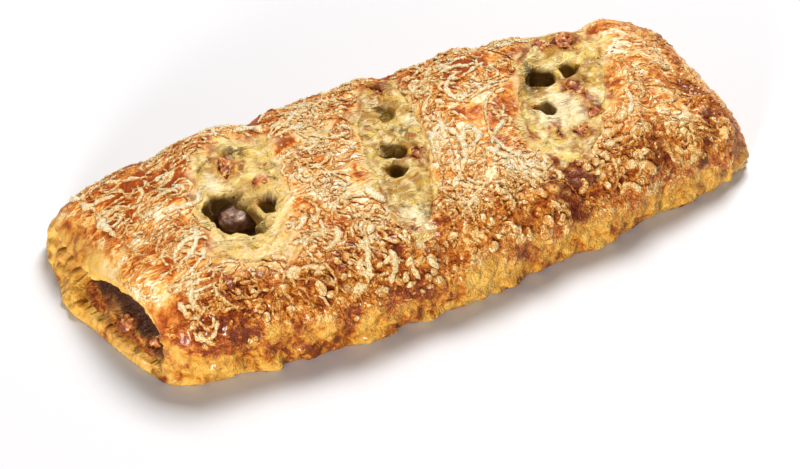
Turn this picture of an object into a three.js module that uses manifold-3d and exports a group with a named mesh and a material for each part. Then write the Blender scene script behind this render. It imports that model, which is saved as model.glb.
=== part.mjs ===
// Savoury strudel: a baked puff-pastry parcel with three slanted vents across its top, a creamy
// filling that runs through it from an open end, ham in the filling, and grated cheese baked on.
// Millimetres, +Z up. The open end is at -X, the closed end at +X, and the parcel rests on z = 0.

import * as THREE from "three";
import { mergeVertices } from "three/addons/utils/BufferGeometryUtils.js";
import Module from "manifold-3d";

const wasm = await Module();
wasm.setup();
const { lerp, smoothstep } = THREE.MathUtils;

// Parcel, measured along its axis and to each side of it
const openEndX = -83;
const closedEndX = 89;
const length = closedEndX - openEndX;
const crownHeight = 26.6;
const widestShare = 0.3; // height of the widest line, as a share of the crown
const sectionPower = 2.8; // squareness of the section
const footSpread = 2; // above 1, so that the foot is flat
const nearSide = { open: 31, widest: 39.6, closed: 28.5, peak: 0.36 };
const farSide = { open: 33.5, widest: 35.8, closed: 23.5, peak: 0.45 };
const sideCurve = 1.8;
const parcelFacets = { stations: 30, sides: 26 };
const stationCrowding = 0.1; // 0 crowds the stations most toward the ends, 0.5 not at all

// Ends of the parcel: share of the full size at the end, and how far in the full size starts
const cornerPinch = { share: 0.88, reach: 9 };
const openRise = { share: 0.66, reach: 34 };
const closedRise = { share: 0.36, reach: 34 };
const openSkew = 0.12; // the open end runs aslant, further out at the far side
const bottomLip = { reach: 5.6, height: 16, middleY: 0, halfWidth: 32 }; // stands out below the top lip
const openPower = 3.8; // the section is squarer at the open end
const farFall = { share: 0.36, from: -12, to: 16 }; // and lower toward its far side
const openFade = 36; // how far in these reach

// Gentle undulations of the crust: height, turns along the parcel and turns round the section
const undulations = [
  { height: 0.45, along: 4.3, around: 2, start: 0.4 },
  { height: 0.35, along: 7.1, around: 3, start: 2.1 },
  { height: 0.3, along: 12.7, around: 1, start: 4.4 },
];

// Crust thickness and the gap between separate pieces
const topCrust = 4.6;
const sideCrust = 6;
const baseCrust = 4.2;
const closedEndCrust = 14;
const pieceGap = 0.4;

// Mouth of the open end, to each side of the axis
const mouth = { near: 26, far: 9, floor: 3, roof: 13.4, runIn: 20 };
const mouthStartX = -100;
const cavityPower = 2.4;
const hollowFacets = { stations: 18, sides: 16 };
const fillingReach = 5.6; // of the filling's foot, out over the bottom lip
const fillingLean = 0.77; // its face in the mouth runs back this much for each step up
const fillingDrop = 1.3; // from the crust down to the filling in a vent
const fillingFacets = { stations: 18, sides: 14 };
const bubbleFacets = { around: 9, down: 6 };

// Vents: middle, half length, half width, slant from the Y axis, and how far the crust dips there
const vents = [
  { x: -44.4, y: 4, halfLength: 19.5, halfWidth: 10.4, slant: 22, dip: 1.4 },
  { x: -1.8, y: 0.3, halfLength: 28.5, halfWidth: 7.5, slant: 18, dip: 3.2 },
  { x: 47.8, y: 0.3, halfLength: 26.5, halfWidth: 11.5, slant: 28, dip: 1.2 },
];
const ventFloor = 8;
const ventCeiling = 45;
const ventPoints = 20;
const ventPower = 1.95;
const dipSpread = 1.7; // the dip reaches this many half widths to each side
const dipLength = 1.1; // and this many half lengths along the vent, where it ends more sharply
const dipEndPower = 4;

// Bubbles that burst open in the filling: vent, offset from its middle, height and half sizes
const bubbles = [
  { vent: 0, x: -3.2, y: -7.6, z: 22.3, half: [9.6, 8.4, 9.4] },
  { vent: 0, x: 6.2, y: -6.2, z: 23.3, half: [2.6, 2.4, 4] },
  { vent: 1, x: 5, y: 14.2, z: 22.8, half: [2.4, 2.6, 4.5] },
  { vent: 1, x: -0.4, y: -0.4, z: 22.3, half: [3.4, 3, 5.5] },
  { vent: 1, x: -2.6, y: -6.4, z: 22.3, half: [3, 2.6, 5] },
  { vent: 2, x: -2.8, y: 6.6, z: 23.3, half: [4, 4, 7] },
  { vent: 2, x: 4.8, y: 6.4, z: 23.3, half: [2.6, 2.6, 5.5] },
  { vent: 2, x: -8, y: -5.2, z: 22.8, half: [2.6, 2.2, 4.5] },
];

// Ham seen in the vents and in the mouth: place, half sizes and turn about Z
const ham = [
  { x: -45.4, y: 2.6, z: 16.4, half: [4.6, 3.2, 3.4], turn: 20 },
  { x: -43.6, y: 13.6, z: 22.4, half: [2.2, 3.4, 2.4], turn: -30 },
  { x: -38.4, y: 4.2, z: 22.8, half: [1.9, 1.7, 1.9], turn: 40 },
  { x: 6, y: 23.2, z: 19.5, half: [2.3, 2.8, 2.4], turn: 15 },
  { x: 2.3, y: -3.4, z: 21.2, half: [1.8, 2, 1.9], turn: 55 },
  { x: 57.6, y: 17.4, z: 22.2, half: [2.9, 3.4, 2.7], turn: -25 },
  { x: 51.6, y: 18.6, z: 21.8, half: [1.7, 1.9, 1.8], turn: 65 },
  { x: 50.4, y: -1.4, z: 22.8, half: [2.3, 3.2, 2.4], turn: 10 },
  { x: 50.6, y: -11.2, z: 22.4, half: [1.9, 2.5, 2], turn: -50 },
  { x: 44, y: -15.6, z: 21.7, half: [2.6, 2, 2.1], turn: 30 },
  { x: 38, y: -13.8, z: 21.8, half: [2.1, 2, 1.9], turn: 80 },
  { x: -82.4, y: -9.6, z: 6.4, half: [1.9, 2.2, 1.9], turn: 35 },
  { x: -79.4, y: -20.6, z: 6.9, half: [2.1, 2.3, 2], turn: -15 },
];
const hamDetail = 1;
const hamRoughness = 0.09;
const hamWaves = { x: 3.1, y: 4.3, z: 3.7 }; // bumps round a lump
const socketRoom = 1.3; // gaps of clearance on each side of a lump, for its bumps

// Flakes of pastry along the near foot: where each one steps back, its run and its reach
const flakes = [
  { x: -53, run: 17, reach: 1.4 },
  { x: -22, run: 16, reach: 1.2 },
  { x: -10, run: 9, reach: 1.5 },
  { x: 14, run: 18, reach: 1.7 },
  { x: 44, run: 14, reach: 1.3 },
  { x: 70, run: 16, reach: 1.1 },
];
const flakeHeight = 3.2;
const flakeRoot = 4; // how far a flake runs back into the parcel
const flakeStep = 1; // run of the step at its end
const footAngle = 1.16 * Math.PI;

// Grated cheese: shreds lie along the crust, crumbs sit on its shoulders and on the closed end
const shredCount = 58;
const shredHalfLength = { least: 3.5, most: 8 };
const shredHalfWidth = { least: 0.8, most: 1.2 };
const shredBend = 1.2; // radians
const shredStops = [-1, -0.35, 0.35, 1]; // in half lengths from its middle
const shredSteps = 3;
const shredFaces = 5;
const shredSink = 0.25; // share of the half width that is sunk in the crust
const crumbCount = 34;
const crumbHalf = { least: 1.1, most: 2.1 };
const crumbShape = [1.2, 1, 0.8]; // longer than wide, and flattened
const shredBand = { from: -0.985, to: 0.95 }; // across the parcel, in half widths
const crumbBand = { from: -0.999, to: -0.55 };
const cheeseStart = 0.04;
const cheeseEnd = 0.985;
const clearOfVent = 2.6;
const seed = 20241;

// Seeded random numbers from 0 to 1
function randomFrom(start) {
  let state = start;
  return () => {
    state = (state * 1664525 + 1013904223) % 4294967296;
    return state / 4294967296;
  };
}

function solidFrom(geometry) {
  const bare = geometry.index ? geometry.toNonIndexed() : geometry.clone();
  bare.deleteAttribute("normal");
  bare.deleteAttribute("uv");
  const merged = mergeVertices(bare, 1e-4);
  return new wasm.Manifold(new wasm.Mesh({
    numProp: 3,
    vertProperties: new Float32Array(merged.attributes.position.array),
    triVerts: new Uint32Array(merged.index.array),
  }));
}

function geometryFrom(solid) {
  const mesh = solid.getMesh();
  const geometry = new THREE.BufferGeometry();
  geometry.setAttribute("position", new THREE.BufferAttribute(mesh.vertProperties, 3));
  geometry.setIndex(new THREE.BufferAttribute(mesh.triVerts, 1));
  return geometry;
}

function joined(solids) {
  return solids.reduce((whole, piece) => whole.add(piece));
}

// The largest separate body of a solid, without the scraps that cutting leaves loose
function largestBody(solid) {
  const bodies = solid.decompose();
  return bodies.reduce((best, body) => (body.volume() > best.volume() ? body : best));
}

// Closed tube along X whose skin is given by a function of run (0 to 1), angle and radius (0 to 1)
function loft({ stations, sides }, pointAt) {
  const tube = new THREE.CylinderGeometry(1, 1, 1, sides, stations);
  const place = tube.attributes.position;
  for (let i = 0; i < place.count; i++) {
    const run = place.getY(i) + 0.5;
    const angle = Math.atan2(place.getX(i), place.getZ(i));
    const radius = Math.hypot(place.getX(i), place.getZ(i));
    place.setXYZ(i, ...pointAt(run, angle, radius).toArray());
  }
  return tube;
}

// Rises along a quarter circle from a share at an end to 1 at the reach
function shoulder(distance, { share, reach }) {
  const left = 1 - Math.min(distance / reach, 1);
  return lerp(share, 1, Math.sqrt(1 - left * left));
}

function alongParcel(x) {
  return Math.min(Math.max((x - openEndX) / length, 0), 1);
}

function halfWidth(side, s) {
  const end = s < side.peak ? side.open : side.closed;
  const run = s < side.peak ? 1 - s / side.peak : (s - side.peak) / (1 - side.peak);
  return lerp(side.widest, end, run ** sideCurve);
}

function crown(s) {
  return crownHeight * shoulder(s * length, openRise) * shoulder((1 - s) * length, closedRise);
}

// Place along and across a vent, in half lengths and half widths from its middle
function inVent(vent, x, y) {
  const slant = THREE.MathUtils.degToRad(vent.slant);
  const dx = x - vent.x;
  const dy = y - vent.y;
  return {
    along: (dx * Math.sin(slant) + dy * Math.cos(slant)) / vent.halfLength,
    across: (dx * Math.cos(slant) - dy * Math.sin(slant)) / vent.halfWidth,
  };
}

// 1 at the open end, 0 where the parcel is plain
function nearOpenEnd(s) {
  return Math.max(1 - (s * length) / openFade, 0) ** 2;
}

// Share of its height that the crust keeps beside the open end
function settled(s, y) {
  return 1 - farFall.share * nearOpenEnd(s) * smoothstep(y, farFall.from, farFall.to);
}

// How far the crust sinks toward the vents
function ventDip(x, y) {
  return vents.reduce((sum, vent) => {
    const { along, across } = inVent(vent, x, y);
    const spread = Math.exp(-((across / dipSpread) ** 2)) * Math.exp(-((along / dipLength) ** dipEndPower));
    return sum + vent.dip * spread;
  }, 0);
}

function undulation(s, angle) {
  return undulations.reduce((sum, { height, along, around, start }) => (
    sum + height * Math.sin(2 * Math.PI * along * s + around * angle + start)
  ), 0);
}

function superellipse(angle, power) {
  const round = (value) => Math.sign(value) * Math.abs(value) ** (2 / power);
  return { across: round(Math.cos(angle)), rise: round(Math.sin(angle)) };
}

// Point on the parcel's skin, or at a drop below its top
function parcelPoint(s, angle, radius = 1, drop = 0) {
  const fade = nearOpenEnd(s);
  const { across, rise } = superellipse(angle, lerp(sectionPower, openPower, fade));
  const side = across < 0 ? nearSide : farSide;
  const pinch = shoulder(s * length, cornerPinch) * shoulder((1 - s) * length, cornerPinch);
  const wave = undulation(s, angle);
  const y = across * (halfWidth(side, s) * pinch + wave) * radius;
  const low = crown(s) * widestShare;
  const axisX = lerp(openEndX, closedEndX, s);
  const top = crown(s) - drop - ventDip(axisX, y) + wave;
  const foot = low * Math.max(1 + rise * radius * footSpread, 0);
  const z = (rise > 0 ? lerp(low, top, rise * radius) : foot) * settled(s, y);
  const besideLip = Math.min(Math.abs(y - bottomLip.middleY) / bottomLip.halfWidth, 1);
  const lip = bottomLip.reach * Math.max(1 - z / bottomLip.height, 0) * (1 - besideLip ** 2);
  return new THREE.Vector3(axisX - (openSkew * y + lip) * fade, y, z);
}

// The whole parcel, with its stations closer together toward the ends
function parcel(facets, drop = 0) {
  const turn = Math.PI * (0.5 - stationCrowding);
  return solidFrom(loft(facets, (run, angle, radius) => {
    const s = 0.5 + (0.5 * Math.sin(turn * (2 * run - 1))) / Math.sin(turn);
    return parcelPoint(s, angle, radius, drop);
  }));
}

// The hollow of the crust, shrunk by a gap all round; it narrows to the mouth at -X
function hollow(gap) {
  return solidFrom(loft(hollowFacets, (run, angle, radius) => {
    const { across, rise } = superellipse(angle, cavityPower);
    const x = lerp(mouthStartX, closedEndX - closedEndCrust, run);
    const s = alongParcel(x);
    const inside = smoothstep(x, openEndX, openEndX + mouth.runIn);
    const near = lerp(mouth.near, halfWidth(nearSide, s) - sideCrust, inside);
    const far = lerp(mouth.far, halfWidth(farSide, s) - sideCrust, inside);
    const y = across * ((across < 0 ? near : far) - gap) * radius;
    const roof = lerp(mouth.roof, crown(s) - topCrust - ventDip(x, y), inside) - gap;
    const floor = lerp(mouth.floor, baseCrust, inside) + gap;
    const middle = lerp(floor, roof, widestShare);
    const z = lerp(middle, rise < 0 ? floor : roof, Math.abs(rise) * radius);
    return new THREE.Vector3(x - openSkew * y * (1 - inside), y, z * settled(s, y));
  }));
}

// Block between the leaning face of the filling in the mouth and its end inside the closed end
function fillingBlock() {
  const footX = (y) => openEndX - fillingReach - openSkew * y;
  const endX = closedEndX - closedEndCrust - pieceGap;
  const outline = new THREE.Shape();
  outline.moveTo(footX(-nearSide.widest), -nearSide.widest);
  outline.lineTo(endX, -nearSide.widest);
  outline.lineTo(endX, farSide.widest);
  outline.lineTo(footX(farSide.widest), farSide.widest);
  const block = new THREE.ExtrudeGeometry(outline, { depth: crownHeight, bevelEnabled: false });
  const place = block.attributes.position;
  for (let i = 0; i < place.count; i++) {
    const isFace = place.getX(i) < openEndX / 2;
    if (isFace) place.setX(i, place.getX(i) + fillingLean * place.getZ(i));
  }
  return solidFrom(block);
}

// Upright prism with the outline of a vent, shrunk by a gap
function ventPrism(vent, gap, floor) {
  const outline = new THREE.Shape();
  for (let i = 0; i < ventPoints; i++) {
    const { across, rise } = superellipse((2 * Math.PI * i) / ventPoints, ventPower);
    outline[i ? "lineTo" : "moveTo"](across * (vent.halfWidth - gap), rise * (vent.halfLength - gap));
  }
  const prism = new THREE.ExtrudeGeometry(outline, { depth: ventCeiling - floor, bevelEnabled: false });
  prism.rotateZ(THREE.MathUtils.degToRad(-vent.slant));
  prism.translate(vent.x, vent.y, floor);
  return solidFrom(prism);
}

function bubble({ vent, x, y, z, half }) {
  const ball = new THREE.SphereGeometry(1, bubbleFacets.around, bubbleFacets.down);
  ball.scale(...half);
  ball.translate(vents[vent].x + x, vents[vent].y + y, z);
  return solidFrom(ball);
}

// Uneven lump of ham, grown by a gap for the socket it sits in
function hamLump({ x, y, z, half, turn }, index, gap = 0) {
  const lump = new THREE.IcosahedronGeometry(1, hamDetail);
  const place = lump.attributes.position;
  for (let i = 0; i < place.count; i++) {
    const p = new THREE.Vector3().fromBufferAttribute(place, i);
    const wavesAlong = Math.sin(hamWaves.x * p.x + index) + Math.sin(hamWaves.y * p.y - index);
    const bump = wavesAlong + Math.sin(hamWaves.z * p.z + 2 * index);
    p.multiplyScalar(1 + hamRoughness * bump);
    place.setXYZ(i, p.x, p.y, p.z);
  }
  lump.scale(...half.map((size) => size + gap * socketRoom));
  lump.rotateZ(THREE.MathUtils.degToRad(turn));
  lump.translate(x, y, z);
  return solidFrom(lump);
}

// Wedge of pastry that stands out from the near foot and ends in a step
function flake({ x, run, reach }) {
  const footY = (atX) => parcelPoint(alongParcel(atX), footAngle).y;
  const outline = new THREE.Shape();
  outline.moveTo(x - run, footY(x - run) + flakeStep);
  outline.lineTo(x - run / 2, footY(x - run / 2) - reach / 2);
  outline.lineTo(x, footY(x) - reach);
  outline.lineTo(x + flakeStep, footY(x) + flakeRoot);
  outline.lineTo(x - run, footY(x - run) + flakeRoot);
  return solidFrom(new THREE.ExtrudeGeometry(outline, { depth: flakeHeight, bevelEnabled: false }));
}

function isClearOfVents(points) {
  return points.every((p) => vents.every((vent) => {
    const { along, across } = inVent(vent, p.x, p.y);
    const a = (along * vent.halfLength) / (vent.halfLength + clearOfVent);
    const b = (across * vent.halfWidth) / (vent.halfWidth + clearOfVent);
    return a * a + b * b > 1;
  }));
}

// Point on the top of the crust at a share of the length and at a share of the half width across
function crustPoint(s, across) {
  const level = Math.min(Math.max(across, -1), 1);
  const angle = Math.acos(Math.sign(level) * Math.abs(level) ** (sectionPower / 2));
  return parcelPoint(Math.min(Math.max(s, cheeseStart), cheeseEnd), angle);
}

// Shred that follows the crust through a few points
function shred(random) {
  const s = random();
  const across = lerp(shredBand.from, shredBand.to, random());
  const heading = random() * Math.PI;
  const bend = (random() - 0.5) * shredBend;
  const reach = lerp(shredHalfLength.least, shredHalfLength.most, random() ** 2);
  const size = lerp(shredHalfWidth.least, shredHalfWidth.most, random());
  const spots = shredStops.map((step) => {
    const turn = heading + bend * step;
    return {
      s: s + (reach * step * Math.cos(turn)) / length,
      across: across + (reach * step * Math.sin(turn)) / nearSide.widest,
    };
  });
  const isOff = (spot) => spot.across < shredBand.from || spot.across > shredBand.to;
  if (spots.some(isOff)) return null;
  const lift = new THREE.Vector3(0, 0, size * (1 - 2 * shredSink));
  const stops = spots.map((spot) => crustPoint(spot.s, spot.across).add(lift));
  if (!isClearOfVents(stops)) return null;
  const section = new THREE.Shape();
  for (let i = 0; i < shredFaces; i++) {
    const round = (2 * Math.PI * i) / shredFaces;
    section[i ? "lineTo" : "moveTo"](size * Math.cos(round), size * Math.sin(round));
  }
  const path = new THREE.CatmullRomCurve3(stops);
  return solidFrom(new THREE.ExtrudeGeometry(section, { steps: shredSteps, extrudePath: path }));
}

function crumb(random) {
  const size = lerp(crumbHalf.least, crumbHalf.most, random());
  const point = crustPoint(Math.sqrt(random()), lerp(crumbBand.from, crumbBand.to, random()));
  if (!isClearOfVents([point])) return null;
  const ball = new THREE.IcosahedronGeometry(size, 0);
  ball.scale(...crumbShape);
  ball.rotateZ(random() * Math.PI);
  ball.translate(point.x, point.y, point.z);
  return solidFrom(ball);
}

// Draws pieces until the wanted number of them has found room
function scatter(count, make, random) {
  const pieces = [];
  while (pieces.length < count) {
    const piece = make(random);
    if (piece) pieces.push(piece);
  }
  return pieces;
}

const random = randomFrom(seed);
const topping = [...scatter(shredCount, shred, random), ...scatter(crumbCount, crumb, random)];
const cuts = [hollow(0)];
cuts.push(...vents.map((vent) => ventPrism(vent, 0, ventFloor)));
const crust = joined([parcel(parcelFacets), ...flakes.map(flake)]).subtract(joined(cuts));
const pastry = largestBody(joined([crust, ...topping]));

const ventFilling = joined(vents.map((vent) => ventPrism(vent, pieceGap, ventFloor + pieceGap)));
const core = hollow(pieceGap).intersect(fillingBlock());
const sockets = ham.map((piece, index) => hamLump(piece, index, pieceGap));
const filling = largestBody(
  core.add(ventFilling.intersect(parcel(fillingFacets, fillingDrop)))
    .subtract(joined(bubbles.map(bubble)))
    .subtract(joined(sockets)),
);

const pastryLook = new THREE.MeshStandardMaterial({ color: 0xd9a24a, roughness: 0.6, metalness: 0 });
const fillingLook = new THREE.MeshStandardMaterial({ color: 0xe6c579, roughness: 0.45, metalness: 0 });
const hamLook = new THREE.MeshStandardMaterial({ color: 0xa8584a, roughness: 0.4, metalness: 0 });

const strudel = new THREE.Group();
strudel.name = "savoury_strudel";

function addPiece(name, solid, material) {
  const mesh = new THREE.Mesh(geometryFrom(solid), material);
  mesh.name = name;
  strudel.add(mesh);
}

addPiece("pastry", pastry, pastryLook);
addPiece("filling", filling, fillingLook);
ham.forEach((piece, index) => addPiece(`ham_${index + 1}`, hamLump(piece, index), hamLook));

// The middle of the foot is the origin
const box = new THREE.Box3().setFromObject(strudel);
const middle = box.getCenter(new THREE.Vector3());
strudel.children.forEach((mesh) => mesh.geometry.translate(-middle.x, -middle.y, -box.min.z));

export default strudel;
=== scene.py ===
import math
import bpy
import bmesh
import numpy as np
from mathutils import Matrix, Vector, noise
from mathutils.bvhtree import BVHTree
from mathutils.kdtree import KDTree


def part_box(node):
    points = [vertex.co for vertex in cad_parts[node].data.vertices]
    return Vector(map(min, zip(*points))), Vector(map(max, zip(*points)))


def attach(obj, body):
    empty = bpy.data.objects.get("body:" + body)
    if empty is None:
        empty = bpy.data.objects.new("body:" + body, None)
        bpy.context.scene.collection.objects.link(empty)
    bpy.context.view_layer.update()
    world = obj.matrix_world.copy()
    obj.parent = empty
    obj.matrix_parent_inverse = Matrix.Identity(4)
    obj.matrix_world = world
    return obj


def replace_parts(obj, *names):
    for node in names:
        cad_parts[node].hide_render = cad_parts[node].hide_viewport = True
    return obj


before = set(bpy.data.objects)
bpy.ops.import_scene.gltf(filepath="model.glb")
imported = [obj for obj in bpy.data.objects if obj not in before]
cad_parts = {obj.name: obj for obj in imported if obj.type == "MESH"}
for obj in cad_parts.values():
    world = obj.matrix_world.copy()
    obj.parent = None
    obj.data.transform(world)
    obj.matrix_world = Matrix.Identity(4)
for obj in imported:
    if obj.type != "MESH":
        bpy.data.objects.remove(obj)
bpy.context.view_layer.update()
mm = 0.001
print("frame loaded:", ", ".join(sorted(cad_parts)))

# the parcel as the solids have it, millimetres, and where its axis stands in the frame
parcel = {
    "axisPlace": (0.12, 1.87, 0.0),
    "openEndX": -83.0, "closedEndX": 89.0, "crownHeight": 26.6, "widestShare": 0.3,
    "sectionPower": 2.8, "footSpread": 2.0, "sideCurve": 1.8,
    "nearSide": {"open": 31.0, "widest": 39.6, "closed": 28.5, "peak": 0.36},
    "farSide": {"open": 33.5, "widest": 35.8, "closed": 23.5, "peak": 0.45},
    "cornerPinch": (0.88, 9.0), "openRise": (0.66, 34.0), "closedRise": (0.36, 34.0),
    "openSkew": 0.12, "openFade": 36.0, "openPower": 3.8, "farFall": (0.36, -12.0, 16.0),
    "bottomLip": {"reach": 5.6, "height": 16.0, "middleY": 0.0, "halfWidth": 32.0},
    "undulations": ((0.45, 4.3, 2, 0.4), (0.35, 7.1, 3, 2.1), (0.3, 12.7, 1, 4.4)),
    # the mouth's roof is a share of the end's own height
    "mouth": {"near": 26.0, "far": 9.0, "floor": 3.0, "middle": 6.0, "roof": 0.87, "power": 4},
    "dipSpread": 1.7, "dipLength": 1.1, "ventPower": 1.95, "topShares": (0.04, 0.985),
}
vents = (
    {"x": -44.4, "y": 4.0, "halfLength": 19.5, "halfWidth": 10.4, "slant": 22.0, "dip": 1.4, "rim": 0.5},
    {"x": -1.8, "y": 0.3, "halfLength": 28.5, "halfWidth": 7.5, "slant": 18.0, "dip": 3.2, "rim": 0.4},
    {"x": 47.8, "y": 0.3, "halfLength": 26.5, "halfWidth": 11.5, "slant": 28.0, "dip": 1.2, "rim": 0.32},
)
parcelLength = parcel["closedEndX"] - parcel["openEndX"]


def mix(a, b, t):
    return a + (b - a) * t


def ease(value, start, end):
    t = np.clip((value - start) / (end - start), 0.0, 1.0)
    return t * t * (3.0 - 2.0 * t)


def shoulder(distance, rise):
    left = 1.0 - np.minimum(distance / rise[1], 1.0)
    return mix(rise[0], 1.0, np.sqrt(1.0 - left * left))


def halfWidth(side, s):
    before = s < side["peak"]
    end = np.where(before, side["open"], side["closed"])
    run = np.where(before, 1.0 - s / side["peak"], (s - side["peak"]) / (1.0 - side["peak"]))
    return mix(side["widest"], end, np.maximum(run, 0.0) ** parcel["sideCurve"])


def crown(s):
    fromOpen = shoulder(s * parcelLength, parcel["openRise"])
    return parcel["crownHeight"] * fromOpen * shoulder((1.0 - s) * parcelLength, parcel["closedRise"])


# place along and across a vent, in half lengths and half widths
def inVent(vent, x, y):
    slant = math.radians(vent["slant"])
    dx, dy = x - vent["x"], y - vent["y"]
    along = (dx * math.sin(slant) + dy * math.cos(slant)) / vent["halfLength"]
    across = (dx * math.cos(slant) - dy * math.sin(slant)) / vent["halfWidth"]
    return along, across


# 1 on the vent's outline, less inside it
def ventReach(vent, x, y):
    along, across = inVent(vent, x, y)
    power = parcel["ventPower"]
    return (np.abs(along) ** power + np.abs(across) ** power) ** (1.0 / power)


def nearestVent(x, y):
    return np.min([ventReach(vent, x, y) for vent in vents], axis=0)


def ventDip(x, y):
    total = 0.0
    for vent in vents:
        along, across = inVent(vent, x, y)
        wide = np.exp(-(across / parcel["dipSpread"]) ** 2)
        total = total + vent["dip"] * wide * np.exp(-(along / parcel["dipLength"]) ** 4)
    return total


# 1 at the open end, 0 where the parcel is plain
def nearOpenEnd(s):
    return np.maximum(1.0 - s * parcelLength / parcel["openFade"], 0.0) ** 2


# share of its height that the crust keeps beside the open end
def settled(s, y):
    share, start, end = parcel["farFall"]
    return 1.0 - share * nearOpenEnd(s) * ease(y, start, end)


def sectionPower(s):
    return mix(parcel["sectionPower"], parcel["openPower"], nearOpenEnd(s))


# across and rise of the section at an angle round it
def sectionShares(s, angle):
    power = 2.0 / sectionPower(s)
    across, rise = np.cos(angle), np.sin(angle)
    return np.sign(across) * np.abs(across) ** power, np.sign(rise) * np.abs(rise) ** power


# points on the parcel's skin: s along it, angle round the section, radius 1 on the skin
def parcelPoints(s, angle, radius):
    across, rise = sectionShares(s, angle)
    wave = sum(h * np.sin(2.0 * math.pi * along * s + around * angle + start)
               for h, along, around, start in parcel["undulations"])
    pinch = shoulder(s * parcelLength, parcel["cornerPinch"])
    pinch = pinch * shoulder((1.0 - s) * parcelLength, parcel["cornerPinch"])
    side = np.where(across < 0.0, halfWidth(parcel["nearSide"], s), halfWidth(parcel["farSide"], s))
    y = across * (side * pinch + wave) * radius
    low = crown(s) * parcel["widestShare"]
    axisX = mix(parcel["openEndX"], parcel["closedEndX"], s)
    top = crown(s) - ventDip(axisX, y) + wave
    foot = low * np.maximum(1.0 + rise * radius * parcel["footSpread"], 0.0)
    z = np.where(rise > 0.0, mix(low, top, rise * radius), foot) * settled(s, y)
    lip = parcel["bottomLip"]
    beside = np.minimum(np.abs(y - lip["middleY"]) / lip["halfWidth"], 1.0)
    reach = lip["reach"] * np.maximum(1.0 - z / lip["height"], 0.0) * (1.0 - beside ** 2)
    return np.stack([axisX - (parcel["openSkew"] * y + reach) * nearOpenEnd(s), y, z], axis=-1)


# point on the top of the crust, across in half widths
def crustPoints(s, across):
    level = np.clip(across, -1.0, 1.0)
    angle = np.arccos(np.sign(level) * np.abs(level) ** (parcel["sectionPower"] / 2.0))
    return parcelPoints(np.clip(s, *parcel["topShares"]), angle, 1.0)


def shareAlong(x):
    return np.clip((x - parcel["openEndX"]) / parcelLength, 0.0, 1.0)


def shareAcross(x, y):
    s = shareAlong(x)
    return y / np.where(y < 0.0, halfWidth(parcel["nearSide"], s), halfWidth(parcel["farSide"], s))


def toFrame(points):
    return (points + np.array(parcel["axisPlace"])) * mm


def toParcel(points):
    return points / mm - np.array(parcel["axisPlace"])


# noise that shapes and colours share
noiseForm = {"slopes": 256, "seed": 5, "apart": 7.31, "height": 1.7, "puffHeight": 1.9,
             "keys": (73856093, 19349663, 83492791), "stir": 2654435761}
noiseSlopes = np.random.default_rng(noiseForm["seed"]).normal(size=(noiseForm["slopes"], 3))
noiseSlopes /= np.linalg.norm(noiseSlopes, axis=1)[:, None]


# smooth noise from -1 to 1 at points in millimetres; size is the width of a lump on each axis
def lumps(points, size, seed):
    scaled = np.asarray(points, dtype=float) / np.asarray(size, dtype=float) + seed * noiseForm["apart"]
    cell = np.floor(scaled).astype(np.int64)
    part = scaled - cell
    fade = part ** 3 * (part * (part * 6.0 - 15.0) + 10.0)
    total = np.zeros(len(scaled))
    for corner in np.ndindex(2, 2, 2):
        key = (cell + corner) @ np.array(noiseForm["keys"])
        slope = noiseSlopes[((key ^ (key >> 9)) * noiseForm["stir"] >> 7) % len(noiseSlopes)]
        weight = np.prod(np.where(corner, fade, 1.0 - fade), axis=1)
        total += weight * np.sum((part - corner) * slope, axis=1)
    return total * noiseForm["height"]


# puffy lumps: 0 in the creases between them, toward 1 on top
def puffs(points, size, seed):
    return np.minimum(np.abs(lumps(points, size, seed)) * noiseForm["puffHeight"], 1.0)


# lumps of several sizes together: height, size and seed of each
def layers(points, rows):
    return sum(height * lumps(points, size, seed) for height, size, seed in rows)


# mesh helpers
def toMesh(name, bm):
    mesh = bpy.data.meshes.new(name)
    bm.to_mesh(mesh)
    bm.free()
    return mesh


def setPlaces(bm, points):
    for vertex, place in zip(bm.verts, points.tolist()):
        vertex.co = place


def readPoints(mesh):
    points = np.empty(len(mesh.vertices) * 3)
    mesh.vertices.foreach_get("co", points)
    normals = np.empty(len(mesh.vertices) * 3)
    mesh.vertex_normals.foreach_get("vector", normals)
    return points.reshape(-1, 3), normals.reshape(-1, 3)


# the mesh that modifiers make of a mesh or curve
def finished(data, *modifiers):
    rough = bpy.data.objects.new("rough", data)
    bpy.context.scene.collection.objects.link(rough)
    for kind, settings in modifiers:
        modifier = rough.modifiers.new(kind.lower(), kind)
        for key, value in settings.items():
            setattr(modifier, key, value)
    bpy.context.view_layer.update()
    result = bpy.data.meshes.new_from_object(rough.evaluated_get(bpy.context.evaluated_depsgraph_get()))
    bpy.data.objects.remove(rough)
    return result


# a solid's own mesh, joined up
def nodeCopy(name):
    bm = bmesh.new()
    bm.from_mesh(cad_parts[name].data)
    bmesh.ops.remove_doubles(bm, verts=bm.verts, dist=0.002 * mm)
    return toMesh(name + "Copy", bm)


def addValues(mesh, **values):
    for name, row in values.items():
        data = mesh.attributes.new(name, "FLOAT", "POINT").data
        data.foreach_set("value", np.asarray(row, dtype=np.float32))


def addPiece(name, mesh, material):
    mesh.name = name
    mesh.materials.clear()
    mesh.materials.append(material)
    mesh.shade_smooth()
    piece = bpy.data.objects.new(name, mesh)
    bpy.context.scene.collection.objects.link(piece)
    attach(piece, "root")
    print(name, len(mesh.polygons), "faces")
    return piece


# colours are given as the eye reads them and turned to linear light
def tone(red, green, blue):
    shares = [c / 255.0 for c in (red, green, blue)]
    return (*(c / 12.92 if c <= 0.04 else ((c + 0.055) / 1.055) ** 2.4 for c in shares), 1.0)


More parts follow.
